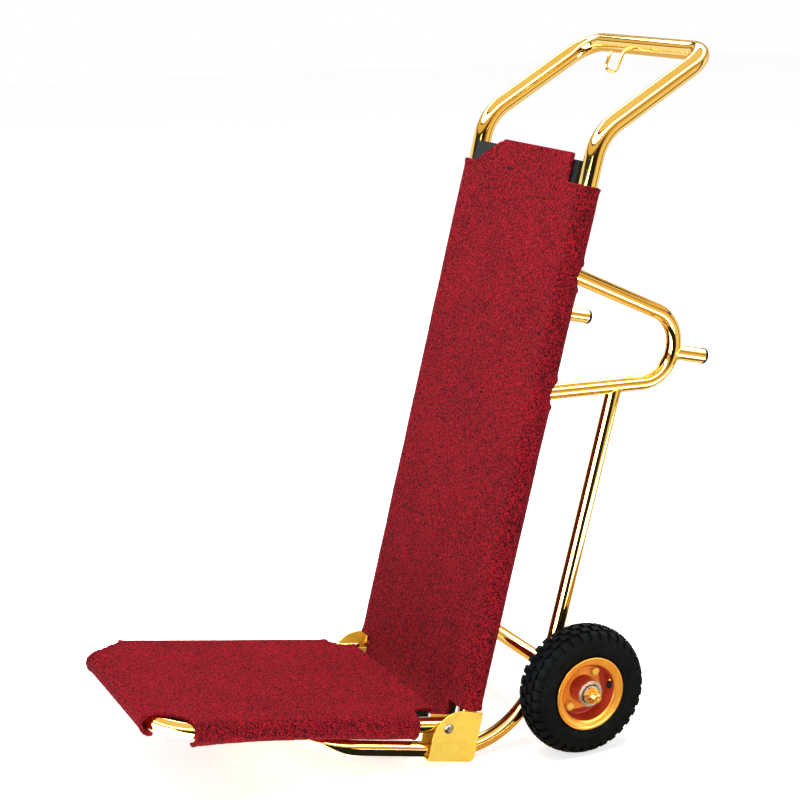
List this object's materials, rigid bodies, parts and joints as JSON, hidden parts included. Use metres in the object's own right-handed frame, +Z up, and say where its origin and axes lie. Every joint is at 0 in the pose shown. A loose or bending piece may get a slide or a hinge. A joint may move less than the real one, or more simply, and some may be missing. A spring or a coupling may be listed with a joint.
{
  "type": "folding luggage cart",
  "caption": "Luggage cart with a bent gold tube frame on pneumatic wheels, a carpeted back, side loops with rest pegs and a carpeted platform that folds up against the back.",
  "frame": {"origin": "on the floor, under the middle of the cart's overall length and width", "axes": "+X towards the cart's left side, -Y towards the platform's front edge, +Y towards the handle and the wheels, +Z up; the cart leans back as it stands on its tyres and bracket heels"},
  "size_m": [0.594, 1.0116, 1.1559],
  "materials": {
    "polished_gold": "mirror-polished gold plating on steel tube",
    "satin_gold": "satin gold plating on steel sheet",
    "rim_gold": "gloss gold on pressed steel",
    "nut_gold": "gold plating",
    "red_carpet": "deep red cut-pile carpet with darker flecks",
    "black_board": "painted black",
    "black_rubber": "matte",
    "tyre_rubber": "moulded rubber",
    "bright_steel": "zinc plated"
  },
  "bodies": {
    "frame": {"axle_lug_left": "polished_gold", "axle_lug_right": "polished_gold", "axle_nuts": "nut_gold", "axle_rod": "bright_steel", "axle_spacers": "bright_steel", "axle_tube": "polished_gold", "axle_washers": "bright_steel", "back_board": "black_board", "back_board_screws": "bright_steel", "back_board_tabs": "polished_gold", "back_carpet": "red_carpet", "base_tube": "polished_gold", "cotter_pins": "bright_steel", "foot_bracket_left": "satin_gold", "foot_bracket_right": "satin_gold", "garment_hook": "polished_gold", "main_tube": "polished_gold", "peg_cap_left": "black_rubber", "peg_cap_right": "black_rubber", "pivot_bolt_left": "bright_steel", "pivot_bolt_right": "bright_steel", "pivot_nut_left": "bright_steel", "pivot_nut_right": "bright_steel", "rest_peg_left": "polished_gold", "rest_peg_right": "polished_gold", "side_loop_left": "polished_gold", "side_loop_right": "polished_gold"},
    "platform": {"platform_tube": "polished_gold", "pivot_bushes": "bright_steel", "platform_board": "black_board", "platform_carpet": "red_carpet", "platform_board_tabs": "polished_gold", "platform_board_screws": "bright_steel"},
    "wheel_left": {"bearing_spacer_left": "bright_steel", "hub_left": "rim_gold", "hub_plates_left": "rim_gold", "inner_tube_left": "black_rubber", "rim_bolts_left": "rim_gold", "rim_inner_left": "rim_gold", "rim_nuts_left": "rim_gold", "rim_outer_left": "rim_gold", "tyre_left": "tyre_rubber", "valve_cap_left": "black_rubber", "valve_stem_left": "black_rubber", "wheel_bearings_left": "bright_steel"},
    "wheel_right": {"bearing_spacer_right": "bright_steel", "hub_plates_right": "rim_gold", "hub_right": "rim_gold", "inner_tube_right": "black_rubber", "rim_bolts_right": "rim_gold", "rim_inner_right": "rim_gold", "rim_nuts_right": "rim_gold", "rim_outer_right": "rim_gold", "tyre_right": "tyre_rubber", "valve_cap_right": "black_rubber", "valve_stem_right": "black_rubber", "wheel_bearings_right": "bright_steel"}
  },
  "joints": [
    {"name": "platform_fold", "type": "hinge", "parent": "frame", "child": "platform", "pos_m": [0, 0.00085, 0.06791], "axis": [-1, 0, 0], "range_deg": [0, 92]},
    {"name": "wheel_left_spin", "type": "hinge", "parent": "frame", "child": "wheel_left", "pos_m": [0.243, 0.22855, 0.111], "axis": [1, 0, 0], "continuous": true},
    {"name": "wheel_right_spin", "type": "hinge", "parent": "frame", "child": "wheel_right", "pos_m": [-0.243, 0.22855, 0.111], "axis": [1, 0, 0], "continuous": true}
  ]
}
